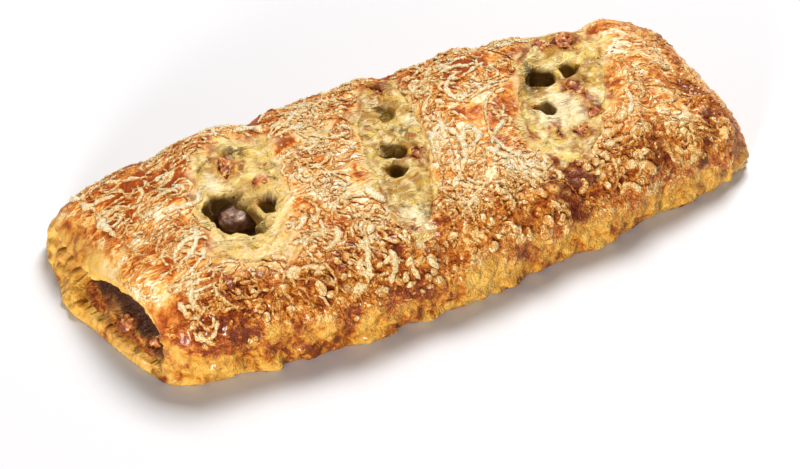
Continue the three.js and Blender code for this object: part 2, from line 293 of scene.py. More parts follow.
# shader helpers
def newMaterial(name, **sockets):
    material = bpy.data.materials.new(name)
    material.use_nodes = True
    tree = material.node_tree
    tree.nodes.clear()
    output = tree.nodes.new("ShaderNodeOutputMaterial")
    shader = tree.nodes.new("ShaderNodeBsdfPrincipled")
    tree.links.new(shader.outputs["BSDF"], output.inputs["Surface"])
    for socket, value in sockets.items():
        shader.inputs[socket.replace("_", " ")].default_value = value
    return material, tree, shader


def addNode(tree, kind, inputs=None, **settings):
    node = tree.nodes.new(kind)
    for key, value in settings.items():
        setattr(node, key, value)
    for key, value in (inputs or {}).items():
        if isinstance(value, bpy.types.NodeSocket):
            tree.links.new(value, node.inputs[key])
        else:
            node.inputs[key].default_value = value
    return node


def ramp(tree, value, *stops):
    node = addNode(tree, "ShaderNodeValToRGB", {"Fac": value})
    points = node.color_ramp.elements
    while len(points) < len(stops):
        points.new(0.5)
    for point, (place, colour) in zip(points, stops):
        point.position = place
        point.color = colour
    return node.outputs["Color"]


# 0 at one value of something and 1 at another
def mask(tree, value, low, high):
    node = addNode(tree, "ShaderNodeMapRange", {"Value": value, "From Min": low, "From Max": high},
                   interpolation_type="SMOOTHSTEP")
    return node.outputs["Result"]


# a value that goes from one number to another
def between(tree, value, first, last, low=0.0, high=1.0):
    node = addNode(tree, "ShaderNodeMapRange", {"Value": value, "From Min": low, "From Max": high,
                                                "To Min": first, "To Max": last})
    return node.outputs["Result"]


def blend(tree, factor, first, second):
    colourInputs = {0: factor, 6: first, 7: second}
    return addNode(tree, "ShaderNodeMix", colourInputs, data_type="RGBA").outputs[2]


def sums(tree, operation, first, second):
    return addNode(tree, "ShaderNodeMath", {0: first, 1: second}, operation=operation).outputs[0]


def plus(tree, first, second):
    return sums(tree, "ADD", first, second)


def minus(tree, first, second):
    return sums(tree, "SUBTRACT", first, second)


def times(tree, first, second):
    return sums(tree, "MULTIPLY", first, second)


def attribute(tree, name):
    return addNode(tree, "ShaderNodeAttribute", attribute_name=name).outputs["Fac"]


def objectPlace(tree):
    return addNode(tree, "ShaderNodeTexCoord").outputs["Object"]


def cloud(tree, vector, scale, detail, distortion):
    node = addNode(tree, "ShaderNodeTexNoise", {"Vector": vector, "Scale": scale, "Detail": detail,
                                                "Distortion": distortion})
    return node.outputs["Fac"]


# 0 along the middle value of a cloud
def fromMiddle(tree, value):
    return addNode(tree, "ShaderNodeMath", {0: minus(tree, value, 0.5)}, operation="ABSOLUTE").outputs[0]


def newGroup(name, kind, sizes, results):
    group = bpy.data.node_groups.new(name, "ShaderNodeTree")
    for socket, size in sizes.items():
        group.interface.new_socket(socket, in_out="INPUT", socket_type="NodeSocketFloat").default_value = size
    for socket in results:
        group.interface.new_socket(socket, in_out="OUTPUT", socket_type=kind)
    return group, group.nodes.new("NodeGroupInput").outputs, group.nodes.new("NodeGroupOutput").inputs


def useGroup(tree, group, sizes=None):
    return addNode(tree, "ShaderNodeGroup", sizes, node_tree=group).outputs


# mottling that every baked surface shares: broad patches and freckles, from 0 to 1
def bakedMottle():
    sizes = {"Patch size mm": 9.0, "Freckle size mm": 2.4}
    group, start, end = newGroup("bakedMottle", "NodeSocketFloat", sizes, ("Patches", "Freckles"))
    vector = objectPlace(group)
    for result, size, distortion in (("Patches", "Patch size mm", 0.6), ("Freckles", "Freckle size mm", 0.4)):
        scale = sums(group, "DIVIDE", 1.0 / mm, start[size])
        group.links.new(cloud(group, vector, scale, 3.0, distortion), end[result])
    return group


# small puffy grains with creases between them, 0 in a crease and 1 on top, for colour and for bump
def bakedGrain():
    group, start, end = newGroup("bakedGrain", "NodeSocketFloat", {"Grain size mm": 1.4}, ("Height",))
    vector = objectPlace(group)
    total = 0.0
    for part, weight in ((1.0, 0.6), (0.45, 0.4)):
        scale = sums(group, "DIVIDE", 1.0 / mm / part, start["Grain size mm"])
        away = fromMiddle(group, cloud(group, vector, scale, 1.0, 0.5))
        puff = sums(group, "MINIMUM", times(group, away, 5.0), 1.0)
        total = plus(group, times(group, puff, weight), total)
    group.links.new(total, end["Height"])
    return group


# thin winding ridges where shreds have melted away, 1 on a ridge
def bakedStreaks():
    group, start, end = newGroup("bakedStreaks", "NodeSocketFloat", {"Streak width mm": 1.0}, ("Height",))
    vector = objectPlace(group)
    scale = sums(group, "DIVIDE", 260.0, start["Streak width mm"])
    total = 0.0
    for turn, stretch, aside in ((0.3, 0.22, 0.0), (-0.5, 0.3, 3.0), (1.2, 0.35, 7.0)):
        turned = addNode(group, "ShaderNodeMapping", {
            "Vector": vector, "Rotation": (0.0, 0.0, turn), "Scale": (stretch, 1.0, 1.0),
            "Location": (aside, aside, 0.0)}).outputs["Vector"]
        away = fromMiddle(group, cloud(group, turned, scale, 2.0, 0.7))
        total = sums(group, "MAXIMUM", mask(group, away, 0.05, 0.0), total)
    group.links.new(total, end["Height"])
    return group


mottleGroup = bakedMottle()
grainGroup = bakedGrain()
streakGroup = bakedStreaks()


def mottle(tree, patchSize, freckleSize):
    return useGroup(tree, mottleGroup, {"Patch size mm": patchSize, "Freckle size mm": freckleSize})


def grains(tree, size):
    return useGroup(tree, grainGroup, {"Grain size mm": size})["Height"]


def streaks(tree, width):
    return useGroup(tree, streakGroup, {"Streak width mm": width})["Height"]


def bump(tree, shader, height, strength, depth):
    node = addNode(tree, "ShaderNodeBump", {"Height": height, "Strength": strength, "Distance": depth * mm})
    tree.links.new(node.outputs["Normal"], shader.inputs["Normal"])


# the melted fat shines most on the near slope
def glaze(tree, shader, slope):
    tree.links.new(between(tree, slope, 0.12, 0.5), shader.inputs["Coat Weight"])


# creamy filling tones, which run on over the soft rims of the vents
creamTones = {"cream": tone(224, 199, 122), "yellow": tone(214, 178, 66), "deep": tone(172, 128, 54),
              "olive": tone(116, 96, 50), "web": tone(236, 220, 178)}


def creamColour():
    group, start, end = newGroup("creamColour", "NodeSocketColor", {}, ("Colour",))
    spots = mottle(group, 6.5, 1.7)
    colour = ramp(group, spots["Patches"], (0.32, creamTones["deep"]), (0.42, creamTones["yellow"]),
                  (0.54, creamTones["cream"]), (0.68, creamTones["yellow"]))
    colour = blend(group, mask(group, spots["Freckles"], 0.6, 0.78), colour, creamTones["olive"])
    deep = mask(group, mottle(group, 3.2, 1.1)["Patches"], 0.42, 0.72)
    colour = blend(group, deep, colour, creamTones["deep"])
    colour = blend(group, mask(group, streaks(group, 1.1), 0.3, 1.7), colour, creamTones["web"])
    group.links.new(colour, end["Colour"])
    return group


creamGroup = creamColour()


# crust: pastry with a film of melted cheese
crust = {
    "cellsAlong": 350, "cellsAcross": 150, "cellsUp": 38, "crowding": 0.9,
    "lipDrop": 1.05, "lipReach": 1.5, "ventDepth": 11.0,
    "mouthDepth": 13.0, "tuckDepth": 3.2, "foldReach": 2.4,
    # flakes along the foot: step, run and reach
    "flakes": ((-53.0, 17.0, 1.4), (-22.0, 16.0, 1.2), (-10.0, 9.0, 1.5), (14.0, 18.0, 1.7),
               (44.0, 14.0, 1.3), (70.0, 16.0, 1.1)),
    # where a vent's lip stands further back: place, half sizes and share
    "wideLips": ((-50.0, -11.5, 8.0, 5.5, 0.08),),
    # bare dough: place and half sizes
    "bare": ((-50.0, -15.0, 13.0, 10.0), (-18.0, 14.0, 6.0, 4.0)),
    # burnt patches: place, size and share
    "burnt": ((33.7, -30.1, 21.5, 9.0, 1.0), (33.0, -34.0, 18.0, 6.0, 1.0), (57.9, -29.6, 19.9, 5.0, 0.7),
              (79.5, -22.2, 18.7, 3.4, 1.0), (77.3, -25.5, 17.6, 3.4, 1.0), (75.1, -28.2, 16.5, 3.4, 1.0),
              (72.6, -30.8, 12.7, 3.0, 1.0), (85.4, -25.1, 13.4, 3.0, 0.6), (85.7, -28.6, 8.9, 3.0, 0.6),
              (-37.6, -33.2, 20.7, 6.0, 0.5), (-8.1, -36.1, 18.6, 4.0, 0.5), (-82.0, -27.0, 1.0, 4.0, 1.0)),
    # relief: height, size and seed of each layer
    "lipNoise": ((0.1, 7.0, 14.0), (0.05, 2.6, 15.0)), "mouthNoise": ((0.06, 5.0, 16.0),),
    "doughNoise": ((0.5, 13.0, 9.0), (0.3, 6.0, 10.0)),
    "wrinkleNoise": ((0.35, (3.2, 9.0, 13.0), 4.0), (0.175, (1.6, 5.0, 8.0), 6.0)),
    # melted film: share, size and seed of its grains
    "grains": ((0.55, 3.4, 1.0), (0.45, 1.9, 13.0)), "knobs": ((5.0, 4.0, 4.0), 17.0), "knobHeight": 1.2,
    "grainMiddle": 0.4, "ringHeight": 0.35, "ringsEach": 25.0,
    # browning: share, then from where to where along and across
    "betweenDrifts": 0.2, "overall": -0.11, "leftSlope": (0.26, (-30.0, -5.0)),
    "farLeft": (0.16, (-62.0, -45.0), (-4.0, 10.0)), "farTop": (0.24, (4.0, 20.0)),
    "openCorner": (0.15, (56.0, 68.0), (8.0, 18.0)), "openEnd": (-0.16, (62.0, 76.0)),
    "soft": tone(246, 216, 142), "butter": tone(222, 176, 84), "golden": tone(202, 144, 52),
    "toasted": tone(172, 96, 24), "brown": tone(124, 58, 10), "filmDark": tone(158, 74, 24),
    "filmRed": tone(196, 106, 42), "film": tone(222, 146, 68), "filmAmber": tone(242, 190, 108),
    "filmPale": tone(255, 242, 210), "syrupDark": tone(128, 52, 8), "syrup": tone(172, 86, 16),
    # the last colour darkens the burnt patches and paints shade on the mouth's inner walls
    "syrupAmber": tone(214, 136, 46), "syrupPale": tone(246, 208, 138), "burntColour": tone(106, 22, 0),
}


def crustMaterial():
    material, tree, shader = newMaterial(
        "bakedCrust", Subsurface_Weight=0.06, Subsurface_Radius=(1.0, 0.5, 0.2), Subsurface_Scale=0.0008,
        Specular_IOR_Level=0.15, Coat_Roughness=0.18)
    spots = mottle(tree, 11.0, 2.4)
    fine = grains(tree, 1.5)
    slope, melted, rim, crumbly = (attribute(tree, name) for name in ("slope", "cheese", "rim", "crumbly"))
    patchy = plus(tree, spots["Patches"], times(tree, spots["Freckles"], 0.5))
    patchy = times(tree, minus(tree, patchy, 0.77), 1.75)
    lumpy = minus(tree, times(tree, plus(tree, attribute(tree, "grain"), fine), 0.5), 0.45)
    level = plus(tree, times(tree, lumpy, crumbly), plus(tree, patchy, 0.42))
    ridges = times(tree, streaks(tree, 1.0), mask(tree, mottle(tree, 14.0, 3.0)["Patches"], 0.36, 0.54))
    softened = times(tree, sums(tree, "MAXIMUM", melted, rim), between(tree, slope, 1.0, 0.5))
    ridges = times(tree, ridges, softened)
    level = plus(tree, level, times(tree, ridges, 0.34))
    level = minus(tree, level, attribute(tree, "browning"))
    bare = ramp(tree, level, (0.03, crust["brown"]), (0.18, crust["toasted"]), (0.37, crust["golden"]),
                (0.65, crust["butter"]))
    soft = blend(tree, mask(tree, spots["Freckles"], 0.46, 0.7), crust["soft"], crust["butter"])
    soft = blend(tree, mask(tree, streaks(tree, 1.3), 0.1, 1.3), soft, crust["filmPale"])
    cream = useGroup(tree, creamGroup)["Colour"]
    bare = blend(tree, rim, bare, blend(tree, mask(tree, rim, 1.25, 0.4), cream, soft))
    topFilm = ramp(tree, level, (0.02, crust["filmDark"]), (0.17, crust["filmRed"]), (0.33, crust["film"]),
                   (0.5, crust["filmAmber"]), (0.8, crust["filmPale"]))
    sideFilm = ramp(tree, level, (0.08, crust["syrupDark"]), (0.29, crust["syrup"]),
                    (0.57, crust["syrupAmber"]), (0.88, crust["syrupPale"]))
    colour = blend(tree, melted, bare, blend(tree, slope, topFilm, sideFilm))
    # dark burnt patches, with painted shade on the mouth's inner walls and a darker line along two vents'
    # lips
    colour = blend(tree, attribute(tree, "burnt"), colour, crust["burntColour"])
    tree.links.new(colour, shader.inputs["Base Color"])
    gloss = between(tree, plus(tree, slope, patchy), 0.6, 0.35, -0.2, 0.9)
    tree.links.new(gloss, shader.inputs["Roughness"])
    glaze(tree, shader, attribute(tree, "shine"))
    bump(tree, shader, plus(tree, times(tree, fine, crumbly), times(tree, ridges, 0.8)), 1.0, 0.5)
    return material


# box of quads, open underneath, from -1 to 1 on each axis
def gridBox(along, across, up):
    bm = bmesh.new()
    bmesh.ops.create_cube(bm, size=2.0)
    bottom = [f for f in bm.faces if f.normal.z < -0.9]
    bmesh.ops.delete(bm, geom=bottom, context="FACES_ONLY")
    for axis, cuts in ((0, along), (1, across), (2, up)):
        runs = [e for e in bm.edges if abs(e.verts[0].co[axis] - e.verts[1].co[axis]) > 1e-6]
        bmesh.ops.subdivide_edges(bm, edges=runs, cuts=cuts - 1, use_grid_fill=True)
    return bm


# where the grated cheese lies thickest, from 0 to 1
def drifts(points):
    return ease(lumps(points, 13.0, 38.0), -0.35, 0.3)


# the syrupy near shoulder and closed end, from 0 to 1
def syrupShare(points):
    x, y, z = points.T
    ragged = lumps(points, 11.0, 31.0)
    near = ease(-shareAcross(x, y) + 0.14 * ragged, 0.5, 0.8) * ease(x, -82.0, -70.0)
    return np.maximum(near, ease(x + 6.0 * ragged, 68.0, 80.0))


# 0 in the vents, 1 past their soft rims
def pastRims(points, grown):
    x, y, z = points.T
    ragged = 0.3 * lumps(points, 6.0, 12.0)
    away = 1.0
    for vent in vents:
        away = away * ease(ventReach(vent, x, y) + ragged, 1.0, 1.0 + vent["rim"] * grown)
    return away


# 0 on the bare dough, 1 away from it
def bareDough(points, grown):
    x, y, z = points.T
    ragged = 0.3 * lumps(points, 9.0, 3.0)
    away = 1.0
    for px, py, wide, deep in crust["bare"]:
        away = away * ease(np.hypot((x - px) / wide, (y - py) / deep) / grown + ragged, 0.75, 1.2)
    return away


# dark caught patches, from 0 to 1
def burntShare(points):
    ragged = 0.7 * lumps(points, 2.6, 11.0)
    burnt = np.zeros(len(points))
    for px, py, pz, size, share in crust["burnt"]:
        away = np.linalg.norm((points - (px, py, pz)) / size, axis=1)
        burnt = np.maximum(burnt, share * (1.0 - ease(away + ragged, 0.3, 1.0)))
    return burnt


# how much of the crust is under cheese, from 0 to 1
def cheeseCover(points):
    x, y, z = points.T
    ragged = lumps(points, 9.0, 3.0)
    lowEdge = mix(9.5, 4.0, ease(x, 30.0, 88.0))
    aboveFoot = ease(z + 5.0 * ragged + 2.0 * lumps(points, 3.0, 5.0), lowEdge, lowEdge + 4.5)
    aboveFoot = np.where(y > 0.0, np.maximum(aboveFoot, ease(z, 13.0, 17.0)), aboveFoot)
    leftEnd = ease(x + 2.0 * ragged, -86.0, -79.0)
    return pastRims(points, 1.0) * bareDough(points, 1.0) * aboveFoot * leftEnd


# how far the colours go towards brown, and below 0 towards pale
def browningShare(points, x, y, melted, slope):
    share, alongSlope = crust["leftSlope"]
    onFilm = crust["betweenDrifts"] * (1.0 - drifts(points)) * (1.0 - slope) + crust["overall"]
    onFilm = onFilm + share * slope * (1.0 - ease(x, *alongSlope))
    share, along, across = crust["farLeft"]
    onFilm = onFilm + share * (1.0 - ease(x, *along)) * ease(y, *across)
    share, across = crust["farTop"]
    onFilm = onFilm + share * ease(y, *across) * (1.0 - slope)
    share, along, across = crust["openCorner"]
    onFilm = onFilm + share * ease(-x, *along) * ease(-y, *across)
    share, along = crust["openEnd"]
    return melted * onFilm + share * (1.0 - melted) * ease(-x, *along)


# 1 on the outline of the mouth, less inside it
def mouthReachAt(points, y, z, upShare):
    mouth = parcel["mouth"]
    beside = np.abs(y - (mouth["far"] - mouth["near"]) / 2.0) / ((mouth["near"] + mouth["far"]) / 2.0)
    below = (mouth["middle"] - z) / (mouth["middle"] - mouth["floor"])
    up = np.where(z < mouth["middle"], below, np.maximum(upShare, 0.0) / mouth["roof"])
    power = mouth["power"]
    return (beside ** power + np.abs(up) ** power) ** (1.0 / power) + layers(points, crust["mouthNoise"])


# dough pushed in at the mouth and tucked in beside it
def pushedIn(y, z, upShare, mouthReach):
    tuck = ease(y, 4.0, 12.0) * (1.0 - ease(y, 22.0, 29.0)) * ease(upShare, 0.3, 0.62)
    tuck = tuck * (1.0 - ease(upShare, 0.72, 0.9))
    fold = np.exp(-((y - 8.0) / 7.0) ** 2 - ((z - 1.5) / 4.5) ** 2)
    inward = crust["mouthDepth"] * ease(-mouthReach, -1.0, -0.84)
    return inward + crust["tuckDepth"] * tuck - crust["foldReach"] * fold


def makeCrust():
    bm = gridBox(crust["cellsAlong"], crust["cellsAcross"], crust["cellsUp"])
    a, b, c = np.array([v.co for v in bm.verts]).T
    s = 0.5 + 0.5 * np.sin(crust["crowding"] * a) / math.sin(crust["crowding"])
    half = sectionPower(s) / 2.0
    angle = np.arctan2(np.sign(c) * np.abs(c) ** half, np.sign(b) * np.abs(b) ** half)
    across, rise = sectionShares(s, angle)
    radius = np.maximum(np.abs(b), np.abs(c))
    points = parcelPoints(s, angle, radius)
    x, y, z = points.T.copy()
    skin = radius > 0.999
    openFace = a < -0.999

    # vents with uneven lips, and the mouth
    reach = nearestVent(x, y)
    edge = reach + layers(points, crust["lipNoise"])
    for px, py, wide, deep, share in crust["wideLips"]:
        edge -= share * np.exp(-((x - px) / wide) ** 2 - ((y - py) / deep) ** 2)
    inTop = ease(rise, 0.1, 0.35) * skin
    drop = crust["lipDrop"] * ease(-edge, -crust["lipReach"], -1.0)
    drop = drop + crust["ventDepth"] * ease(-edge, -0.97, -0.84)
    points[:, 2] -= drop * inTop
    mouthReach = mouthReachAt(points, y, z, radius * rise)
    points[:, 0] += np.where(openFace, pushedIn(y, z, radius * rise, mouthReach), 0.0)

    # relief: puffed dough, wrinkled sides, melted film
    setPlaces(bm, points)
    bm.normal_update()
    normals = np.array([v.normal for v in bm.verts])
    melted = np.maximum(cheeseCover(points), 0.9 * burntShare(points)) * skin
    slope = syrupShare(points)
    inside = ease(reach, 0.8, 0.95)
    grain = sum(share * puffs(points, size, seed) for share, size, seed in crust["grains"])
    pastOpenEnd = ease(s + 0.05 * lumps(points, 12.0, 33.0), 0.2, 0.36)
    crumbly = mix(0.6, mix(0.5, 1.0, np.maximum(pastOpenEnd, slope)), melted)
    crumbly = crumbly * mix(1.0, 0.8, ease(x, 58.0, 76.0))
    crumbly = crumbly * mix(0.5, mix(0.85, 1.05, slope), np.maximum(drifts(points), slope))
    onSides = (1.0 - ease(points[:, 2], 9.0, 15.0)) * (1.0 - melted)
    knobs = crust["knobHeight"] * (puffs(points, *crust["knobs"]) - crust["grainMiddle"])
    height = layers(points, crust["doughNoise"]) * inside
    height += inside * (grain - crust["grainMiddle"]) * crumbly * mix(0.8, 1.1, slope)
    height += onSides * (layers(points, crust["wrinkleNoise"]) + knobs)
    # folds in the bare dough
    rings = np.sin((reach - 1.0) * crust["ringsEach"] + 1.5 * lumps(points, 9.0, 20.0))
    height += crust["ringHeight"] * rings * (1.0 - bareDough(points, 1.1)) * (y < 0.0) * inside
    aboveFoot = ease(points[:, 2], 0.0, 1.6)  # the foot stays flat
    points += normals * (height * aboveFoot)[:, None]
    footSide = (y < -15.0) * (1.0 - ease(points[:, 2], 2.2, 4.6))
    for stepX, run, step in crust["flakes"]:
        along = (x - (stepX - run)) / run
        points[:, 1] -= footSide * np.where((along > 0.0) & (along < 1.0), step * along, 0.0)
    setPlaces(bm, toFrame(points))
    bmesh.ops.contextual_create(bm, geom=[e for e in bm.edges if e.is_boundary])
    bmesh.ops.recalc_face_normals(bm, faces=bm.faces[:])
    surface = BVHTree.FromBMesh(bm)
    mesh = toMesh("crust", bm)

    # what the colours follow: dark patches, painted shade on the mouth's inner walls, a darker line along the
    # lips of the second and third vents, and the soft rims
    # the mouth's inner walls take the dark patches' colour here as painted shade
    burnt = np.maximum(burntShare(points), openFace * ease(-mouthReach, -1.0, -0.86))
    narrow = np.min([ventReach(vent, x, y) for vent in vents[1:]], axis=0) + edge - reach
    # a darker line just outside the lips of the second and third vents, in patches
    lipLine = np.exp(-((narrow - 1.03) / 0.07) ** 2) * ease(lumps(points, 5.0, 34.0), -0.4, 0.4)
    burnt = np.maximum(burnt, 0.5 * lipLine * inTop)
    rim = np.maximum(1.0 - pastRims(points, 1.1), 0.7 * (1.0 - bareDough(points, 1.15))) * inTop
    rim = np.maximum(rim, 0.1 * ease(-x, 72.0, 82.0) * ease(lumps(points, 8.0, 18.0), -0.7, 0.3))
    rim = rim * (1.0 - np.minimum(burnt * 2.0, 1.0))
    addValues(mesh, cheese=melted, rim=rim, grain=grain, crumbly=crumbly, slope=slope,
              burnt=burnt * 0.9, shine=slope * (1.0 - burnt),
              browning=browningShare(points, x, y, melted, slope))
    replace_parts(addPiece("crust", mesh, crustMaterial()), "pastry")
    return surface


crustSurface = makeCrust()


# the nearest place on the crust and the way up from it
def onCrust(point):
    place, normal, index, distance = crustSurface.find_nearest(Vector(toFrame(np.asarray(point))))
    return np.array(place), np.array(normal)


# the same run of numbers that the solids are scattered by
def numbers(state):
    while True:
        state = (state * 1664525 + 1013904223) % 4294967296
        yield state / 4294967296


# grated cheese baked on: the solids' shreds and crumbs, the large curls, then finer ones between them
cheese = {
    "seed": 20241, "shreds": 58, "halfLength": (3.5, 8.0), "halfWidth": (0.8, 1.2), "bend": 1.2,
    "band": (-0.985, 0.95), "stops": (-1.0, -0.35, 0.35, 1.0), "clear": 2.6, "thinned": 0.8,
    "crumbs": 34, "crumbHalf": (1.1, 2.1), "crumbBand": (-0.999, -0.55),
    "fineSeed": 11, "fineShreds": 680, "fineHalfLength": (1.4, 5.5), "fineHalfWidth": (0.3, 0.62),
    "fineBend": 2.4, "fineShort": 1.6, "fineClear": 1.2, "drawnOut": 1.45, "stopLength": 0.62,
    "openShare": 0.2, "slopeBand": -0.55, "alongParcel": (0.15, 0.45), "downSlope": (1.9, 0.45),
    "fineCrumbs": 620, "fineCrumbHalf": (0.45, 1.35), "fineSmall": 2.2, "crumbClear": 1.4,
    "sink": (-0.12, -0.5), "sinkFrom": (50.0, 66.0), "covered": (0.2, 0.7),
    "wobble": (0.6, 500.0), "taper": 0.6, "knobs": (0.35, 1.5, 41.0), "knobNoise": (0.2, 0.8, 42.0),
    # curls: place along and across in shares, heading and bend, half length and half width
    "curls": ((0.555, -0.3, 1.2, 0.4, 12.0, 1.0), (0.583, -0.25, 0.94, 0.5, 4.5, 1.1),
              (0.594, -0.45, -0.8, 0.3, 5.8, 0.9), (0.394, -0.36, -1.1, 0.3, 3.2, 1.5),
              (0.362, -0.886, 1.06, 0.3, 3.6, 1.2), (0.389, -0.93, -1.27, 0.4, 2.2, 1.0),
              (0.422, -0.945, -0.73, 0.5, 2.0, 1.0), (0.93, -0.12, 0.5, 2.4, 5.5, 0.9),
              (0.828, -0.44, 1.17, 0.3, 6.0, 0.9), (0.606, -0.37, -1.36, 0.3, 7.9, 0.8),
              (0.145, 0.1, 0.2, 0.5, 7.0, 0.9), (0.1, -0.2, 0.3, -0.4, 6.0, 0.9)),
    # single lumps: place and half size
    "lumps": ((-49.7, -31.9, 2.0), (-44.3, -29.0, 1.9), (54.4, -18.0, 1.9), (-9.0, -39.2, 1.7),
              (51.5, -15.0, 1.4)),
    "ivory": tone(255, 242, 208), "cream": tone(250, 212, 146), "tan": tone(230, 162, 84),
    "edge": tone(192, 98, 34), "straw": tone(253, 228, 178), "gold": tone(230, 168, 74),
    "amber": tone(198, 118, 34), "darkEdge": tone(144, 68, 14),
}


def clearOfVents(points, room):
    for vent in vents:
        along, across = inVent(vent, points[:, 0], points[:, 1])
        a = along * vent["halfLength"] / (vent["halfLength"] + room)
        b = across * vent["halfWidth"] / (vent["halfWidth"] + room)
        if np.min(a * a + b * b) <= 1.0:
            return False
    return True


# shares along and across the parcel at steps along a shred
def shredSpots(s, across, heading, bend, reach, steps):
    turn = heading + bend * steps
    aside = reach * steps * np.sin(turn) / parcel["nearSide"]["widest"]
    return s + reach * steps * np.cos(turn) / parcelLength, across + aside


def solidShreds(draw):
    found = []
    while len(found) < cheese["shreds"]:
        s = next(draw)
        across = mix(*cheese["band"], next(draw))
        heading = next(draw) * math.pi
        bend = (next(draw) - 0.5) * cheese["bend"]
        reach = mix(*cheese["halfLength"], next(draw) ** 2)
        size = mix(*cheese["halfWidth"], next(draw))
        spots = shredSpots(s, across, heading, bend, reach, np.array(cheese["stops"]))
        if spots[1].min() < cheese["band"][0] or spots[1].max() > cheese["band"][1]:
            continue
        if clearOfVents(crustPoints(*spots), cheese["clear"]):
            found.append((s, across, heading, bend, reach, size * cheese["thinned"]))
    return found


# they lie along the parcel at the open end, hang down the near slope and lie any way elsewhere
def fineHeading(rng, s, across):
    atOpenEnd = s < cheese["openShare"]
    heading = rng.normal(*cheese["alongParcel"]) if atOpenEnd else rng.uniform(0.0, math.pi)
    onSlope = across < cheese["slopeBand"] and s > cheese["openShare"]
    return rng.normal(*cheese["downSlope"]) if onSlope else heading


def fineShreds(rng):
    found = []
    while len(found) < cheese["fineShreds"]:
        s, across = rng.uniform(0.045, 0.98), rng.uniform(-0.99, 0.97)
        heading = fineHeading(rng, s, across)
        bend = rng.uniform(-0.5, 0.5) * cheese["fineBend"]
        reach = mix(*cheese["fineHalfLength"], rng.random() ** cheese["fineShort"]) * cheese["drawnOut"]
        size = mix(*cheese["fineHalfWidth"], rng.random())
        spots = shredSpots(s, across, heading, bend, reach, np.linspace(-1.0, 1.0, 5))
        points = crustPoints(*spots)
        pastOpenEnd = float(ease(s, 0.15, 0.3))
        wanted = mix(0.85, 1.0, pastOpenEnd) * mix(1.0, 0.5, float(ease(-across, 0.75, 0.95)))
        wanted *= mix(mix(0.7, 0.12, pastOpenEnd), 1.0, drifts(points[2:3])[0])
        wanted *= mix(1.0, 0.15, float(ease(s + 0.1 * across, 0.8, 0.88)))  # few at the closed end
        outside = np.abs(spots[1]).max() > 0.995
        if rng.random() > wanted or outside or not clearOfVents(points, cheese["fineClear"]):
            continue
        if burntShare(points).max() > rng.uniform(0.4, 1.2):
            continue
        if cheeseCover(points).mean() > rng.uniform(*cheese["covered"]):
            found.append((s, across, heading, bend, reach, size))
    return found


def crumbSpots(draw, rng):
    found = []
    while len(found) < cheese["crumbs"]:
        size = mix(*cheese["crumbHalf"], next(draw))
        s = math.sqrt(next(draw))
        point = crustPoints(np.array([s]), np.array([mix(*cheese["crumbBand"], next(draw))]))
        if clearOfVents(point, cheese["clear"]):
            next(draw)
            found.append((point[0], size))
    for px, py, size in cheese["lumps"]:
        x, y = np.array([px]), np.array([py])
        found.append((crustPoints(shareAlong(x), shareAcross(x, y))[0], size))
    most = len(found) + cheese["fineCrumbs"]
    while len(found) < most:
        s, across = rng.uniform(0.03, 0.99), -rng.uniform(-0.9, 1.0)
        point = crustPoints(np.array([s]), np.array([across]))
        wanted = 0.08 + 0.92 * float(ease(-across, 0.4, 0.9))
        wanted = wanted * mix(0.5, 1.0, float(ease(s, 0.2, 0.35))) * mix(1.0, 0.1, float(ease(s, 0.76, 0.86)))
        clump = 0.55 + 0.9 * float(lumps(point, 8.0, 19.0)[0])
        if wanted * clump < rng.random() or not clearOfVents(point, cheese["crumbClear"]):
            continue
        if burntShare(point)[0] > rng.uniform(0.3, 1.2):
            continue
        if cheeseCover(point)[0] > rng.uniform(*cheese["covered"]):
            found.append((point[0], mix(*cheese["fineCrumbHalf"], rng.random() ** cheese["fineSmall"])))
    return found


def cheeseMaterial():
    material, tree, shader = newMaterial(
        "bakedCheese", Subsurface_Weight=0.1, Subsurface_Radius=(1.0, 0.6, 0.3), Subsurface_Scale=0.0008,
        Specular_IOR_Level=0.15, Coat_Roughness=0.18)
    spots = mottle(tree, 9.0, 1.5)
    fine = grains(tree, 1.0)
    slope = attribute(tree, "slope")
    # darker and more orange in the grains' creases and low where a piece sinks into the crust, paler on top:
    # partly toasted edges and pale cheese, partly painted shade and painted highlight
    level = plus(tree, times(tree, fine, 0.7), times(tree, attribute(tree, "shade"), 0.35))
    level = minus(tree, plus(tree, level, spots["Patches"]), times(tree, attribute(tree, "sunk"), 0.6))
    level = minus(tree, level, 0.2)
    top = ramp(tree, level, (0.08, cheese["edge"]), (0.32, cheese["tan"]), (0.56, cheese["cream"]),
               (0.84, cheese["ivory"]))
    side = ramp(tree, level, (0.04, cheese["darkEdge"]), (0.28, cheese["amber"]), (0.52, cheese["gold"]),
                (0.84, cheese["straw"]))
    tree.links.new(blend(tree, slope, top, side), shader.inputs["Base Color"])
    tree.links.new(between(tree, slope, 0.6, 0.35), shader.inputs["Roughness"])
    glaze(tree, shader, slope)
    bump(tree, shader, fine, 1.0, 0.5)
    return material


# knobs on every shred or crumb, and what their colours follow
def addCheese(name, mesh, material, shades):
    points, normals = readPoints(mesh)
    local = toParcel(points)
    share, size, seed = cheese["knobs"]
    height = share * (puffs(local, size, seed) - 0.45) + layers(local, (cheese["knobNoise"],))
    points = points + normals * (height * mm)[:, None]
    mesh.vertices.foreach_set("co", points.ravel())
    mesh.update()
    tree = KDTree(len(shades))
    for i, (place, shade) in enumerate(shades):
        tree.insert(place, i)
    tree.balance()
    shade, above = np.empty(len(points)), np.empty(len(points))
    for i, point in enumerate(points.tolist()):
        place, up, index, distance = crustSurface.find_nearest(point)
        above[i] = (Vector(point) - place).dot(up) / mm
        shade[i] = shades[tree.find(point)[1]][1]
    # how near each place lies to the crust, which darkens its colour: partly toasting, partly painted shade
    addValues(mesh, shade=shade, sunk=1.0 - np.clip(above / 0.6, 0.0, 1.0), slope=syrupShare(local))
    addPiece(name, mesh, material)


# how deep cheese sits in the crust, in its own thickness: deeper at the closed end
def sinkAt(point):
    return mix(*cheese["sink"], ease(point[0], *cheese["sinkFrom"]))


